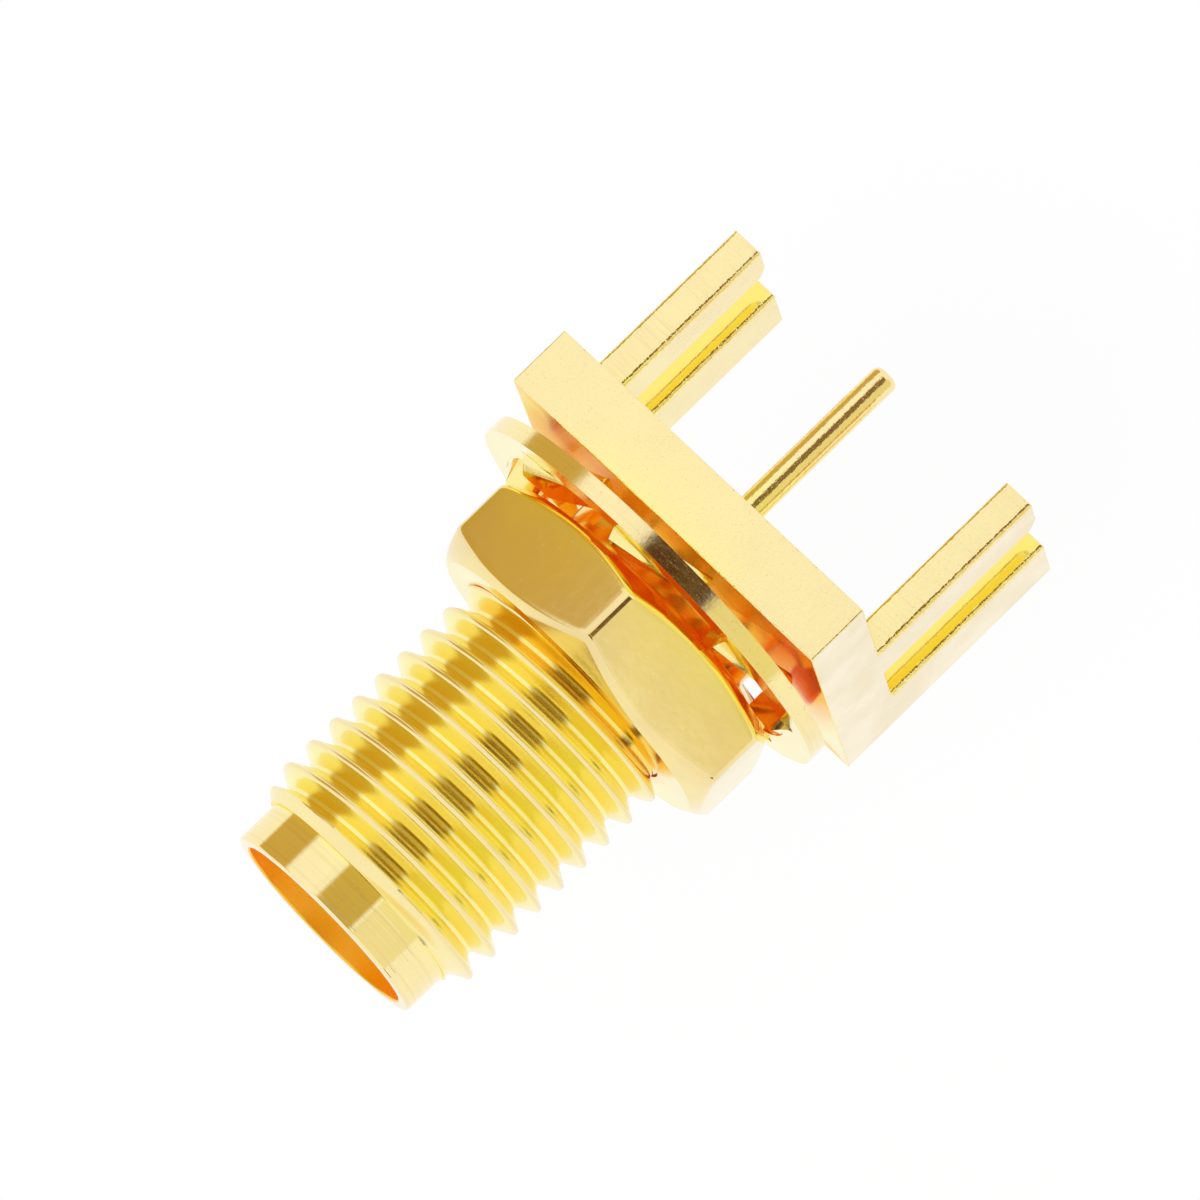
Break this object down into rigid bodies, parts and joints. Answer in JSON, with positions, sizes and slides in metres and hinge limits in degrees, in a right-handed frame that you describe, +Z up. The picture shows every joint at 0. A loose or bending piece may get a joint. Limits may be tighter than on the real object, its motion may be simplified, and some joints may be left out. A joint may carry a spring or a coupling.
{
  "type": "sma connector",
  "caption": "Edge-mount coaxial jack: threaded barrel on a square flange with board prongs and a solder tail, a hex panel nut and a toothed lock washer.",
  "frame": {"origin": "on the barrel's axis, in the rear face of the flange, where the board's edge stops", "axes": "+Y runs along the axis towards the tip of the solder tail, and the mouth faces -Y; +Z is up from the board's top side; +X runs along the flange"},
  "size_m": [0.0102, 0.0175, 0.0102],
  "materials": {
    "gold_shell": "bright gold plating on turned brass",
    "gold_nut": "bright gold plating on brass",
    "gold_washer": "bright gold plating on spring bronze sheet",
    "white_insulator": "plain white fluoropolymer",
    "gold_contact": "gold plating on a copper alloy"
  },
  "bodies": {
    "shell": {"body": "gold_shell", "insulator": "white_insulator", "centre_contact": "gold_contact"},
    "washer": {"lock_washer": "gold_washer"},
    "nut": {"hex_nut": "gold_nut"}
  },
  "joints": [
    {"name": "washer_slide", "type": "slide", "parent": "shell", "child": "washer", "axis": [0, -1, 0], "range_m": [-0.0001, 0.00635]},
    {"name": "nut_turn", "type": "hinge", "parent": "washer", "child": "nut", "pos_m": [0, -0.004, 0], "axis": [0, -1, 0], "range_deg": [-51, 3241]}
  ],
  "couplings": [
    {"joint": "nut_turn", "follows": "washer_slide", "rad_per_m": 8905.3}
  ]
}
